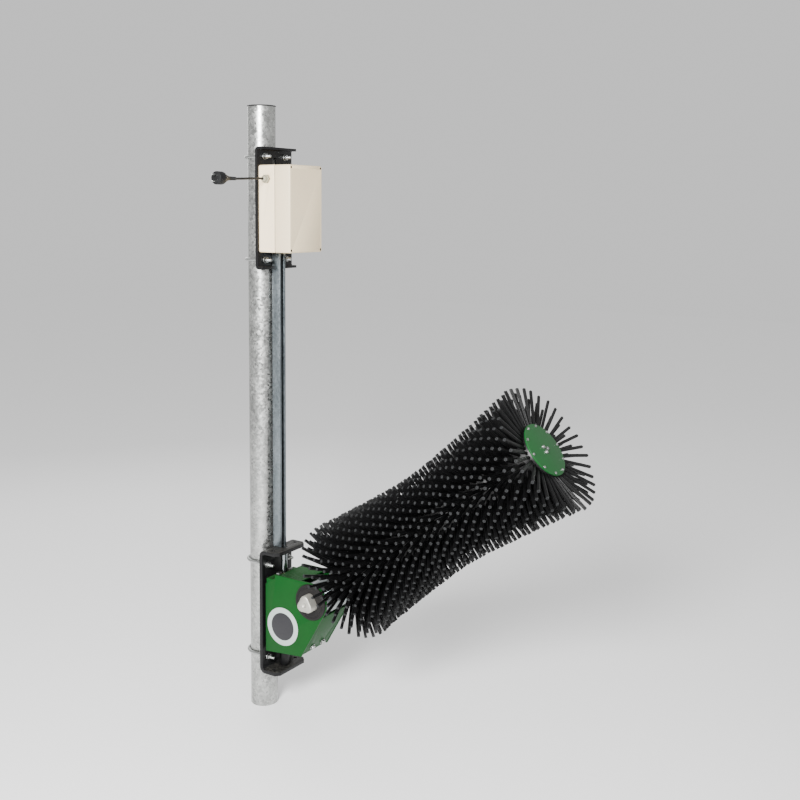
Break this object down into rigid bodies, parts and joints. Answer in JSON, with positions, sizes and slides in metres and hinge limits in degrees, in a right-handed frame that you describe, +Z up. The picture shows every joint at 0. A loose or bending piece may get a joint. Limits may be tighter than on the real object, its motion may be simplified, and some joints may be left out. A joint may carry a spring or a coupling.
{
  "type": "rotating cow brush",
  "caption": "Post-mounted livestock grooming brush: a waisted bristle roller on a sprung tilting arm, in a swinging housing below a control box.",
  "frame": {"origin": "centre of the post's lower end, where the picture cuts the post", "axes": "+Z up along the post, +X out of the brackets in the plane of the brush, +Y to the side away from the mains cord"},
  "size_m": [1.193, 0.5283, 1.9695],
  "materials": {
    "galvanised_post": "mottled galvanised",
    "fasteners": "zinc plated",
    "stainless": "polished",
    "bronze": "machined",
    "black_coat": "black powder coat",
    "motor_case": "painted",
    "green_paint": "satin green",
    "cream_plastic": "satin",
    "grey_plastic": "satin",
    "gland_plastic": "satin",
    "black_plastic": "matte",
    "board": "circuit board",
    "black_rubber": "matte",
    "bristle": "glossy filaments",
    "pale_disc": "satin, bare"
  },
  "bodies": {
    "mounting": {"post": "galvanised_post", "post_cap": "black_plastic", "upper_bracket": "black_coat", "lower_bracket": "black_coat", "u_bolt_1": "fasteners", "u_bolt_2": "fasteners", "u_bolt_3": "fasteners", "u_bolt_4": "fasteners", "u_bolt_nut_1_left": "fasteners", "u_bolt_nut_1_right": "fasteners", "u_bolt_nut_2_left": "fasteners", "u_bolt_nut_2_right": "fasteners", "u_bolt_nut_3_left": "fasteners", "u_bolt_nut_3_right": "fasteners", "u_bolt_nut_4_left": "fasteners", "u_bolt_nut_4_right": "fasteners", "cable_channel": "galvanised_post", "channel_screw": "fasteners", "box_base": "cream_plastic", "box_lid": "grey_plastic", "lid_gasket": "black_rubber", "lid_screw_1": "fasteners", "lid_screw_2": "fasteners", "lid_screw_3": "fasteners", "lid_screw_4": "fasteners", "box_bolt_1": "fasteners", "box_bolt_2": "fasteners", "box_bolt_3": "fasteners", "box_bolt_4": "fasteners", "control_board": "board", "cable_gland": "gland_plastic", "mains_cord": "black_rubber", "plug_body": "black_rubber", "plug_pin_1": "fasteners", "plug_pin_2": "fasteners", "pivot_pin": "stainless", "pivot_spacer": "black_coat"},
    "housing": {"housing_shell": "green_paint", "front_cover": "green_paint", "side_disc": "pale_disc", "hinge_bolt_left": "fasteners", "hinge_bolt_right": "fasteners", "cover_screw_left": "fasteners", "cover_screw_right": "fasteners", "hinge_bush_upper": "bronze", "hinge_bush_lower": "bronze"},
    "arm": {"torsion_bar": "stainless", "rubber_bush_left": "black_rubber", "rubber_bush_right": "black_rubber", "arm_hub": "stainless", "gear_motor": "motor_case", "core_bearing": "bronze"},
    "brush": {"core_tube": "fasteners", "drive_plate": "fasteners", "end_disc": "green_paint", "brush_segment_1": "bristle", "brush_segment_2": "bristle", "brush_segment_3": "bristle", "brush_segment_4": "bristle", "brush_segment_5": "bristle"}
  },
  "joints": [
    {"name": "swing", "type": "hinge", "parent": "mounting", "child": "housing", "pos_m": [0.0865, 0, 0.34], "axis": [0, 0, 1], "range_deg": [-7, 7]},
    {"name": "tilt", "type": "hinge", "parent": "housing", "child": "arm", "pos_m": [0.2505, 0, 0.414], "axis": [0, 1, 0], "range_deg": [-30, 30], "stiffness_Nm_per_rad": 600, "springref_deg": -11.46},
    {"name": "brush_spin", "type": "hinge", "parent": "arm", "child": "brush", "pos_m": [0.64982, 0, 0.71491], "axis": [0.7986, 0, 0.6018], "continuous": true}
  ]
}
